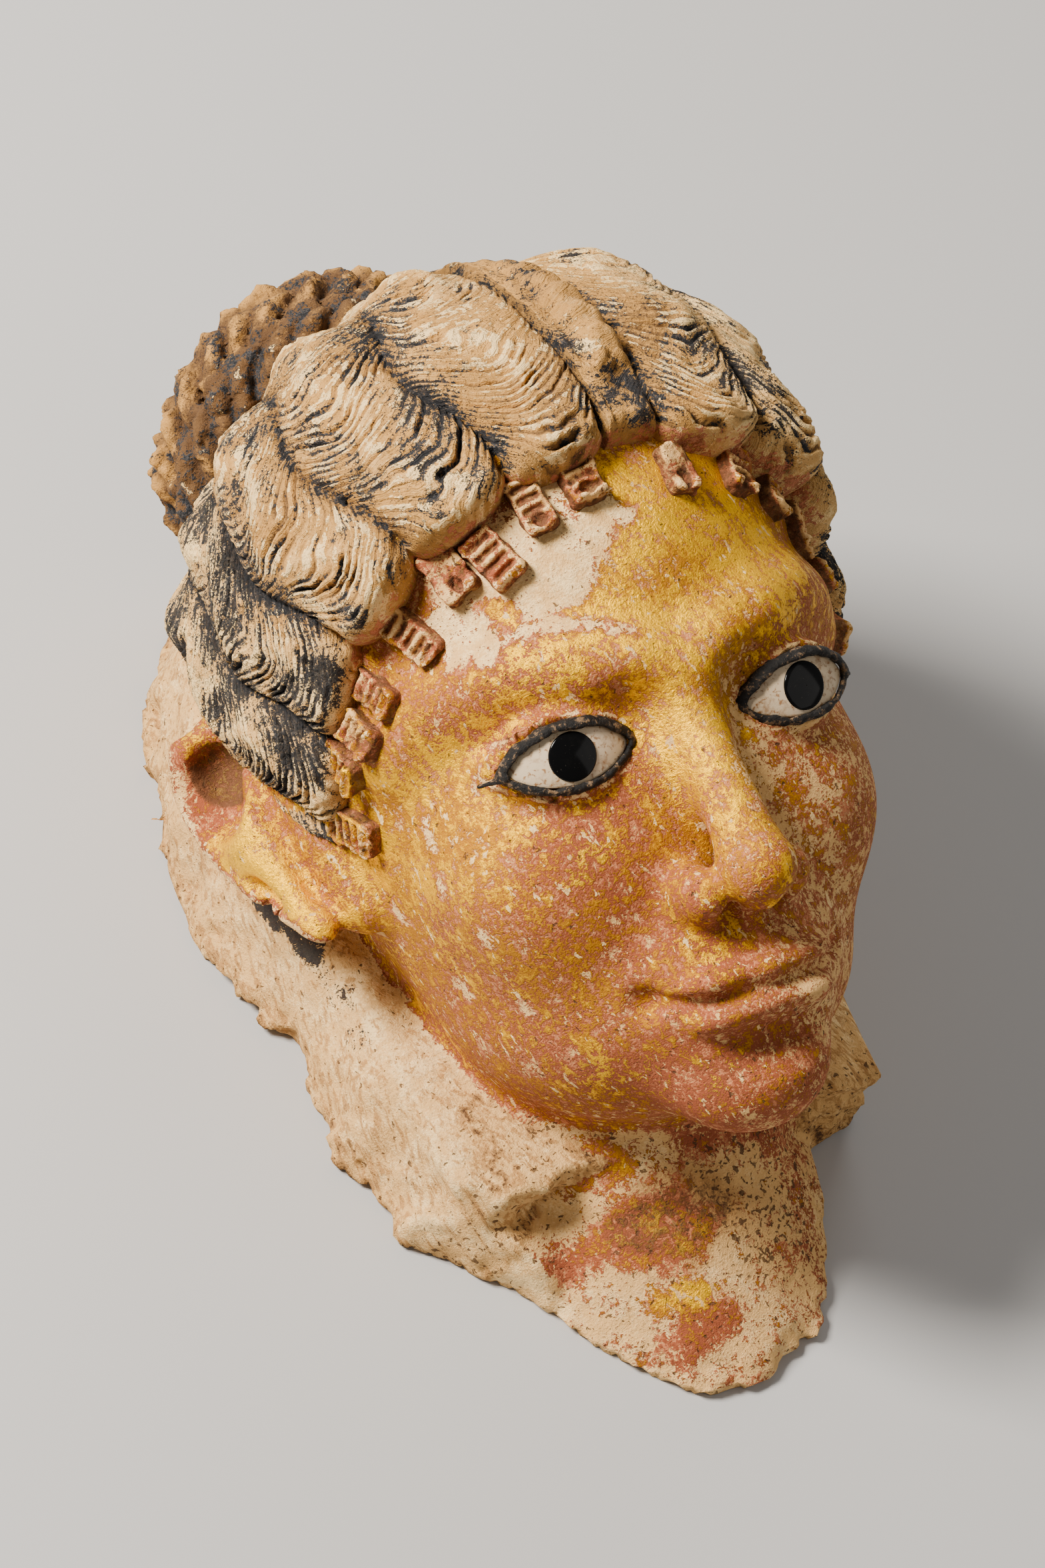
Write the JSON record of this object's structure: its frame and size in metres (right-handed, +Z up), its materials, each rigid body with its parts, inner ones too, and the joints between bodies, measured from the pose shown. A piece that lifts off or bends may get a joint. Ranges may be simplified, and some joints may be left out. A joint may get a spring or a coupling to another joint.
{
  "type": "hollow plaster head mask",
  "caption": "Hollow gilded plaster mask of a woman's head with inlaid eyes, waved hair, a coiled plait and a broken neck, lying on its open edge.",
  "frame": {"origin": "middle of the mask's box, on the floor that its open edge lies on", "axes": "+Z up from the floor, +Y towards the crown and the coiled plait, +X towards the mask's own left side"},
  "size_m": [0.1712, 0.2964, 0.1796],
  "materials": {
    "plaster": "cream plaster, gilded over red bole on the face, black paint worn from the hair",
    "rim_metal": "dark corroded metal, slightly rough",
    "eye_white": "polished off-white stone, stained at the edges",
    "iris_glass": "opaque black glass, polished"
  },
  "bodies": {
    "root": {"plaster_mask": "plaster", "eye_rim_right": "rim_metal", "eye_white_right": "eye_white", "eye_iris_right": "iris_glass", "eye_rim_left": "rim_metal", "eye_white_left": "eye_white", "eye_iris_left": "iris_glass"}
  },
  "joints": []
}
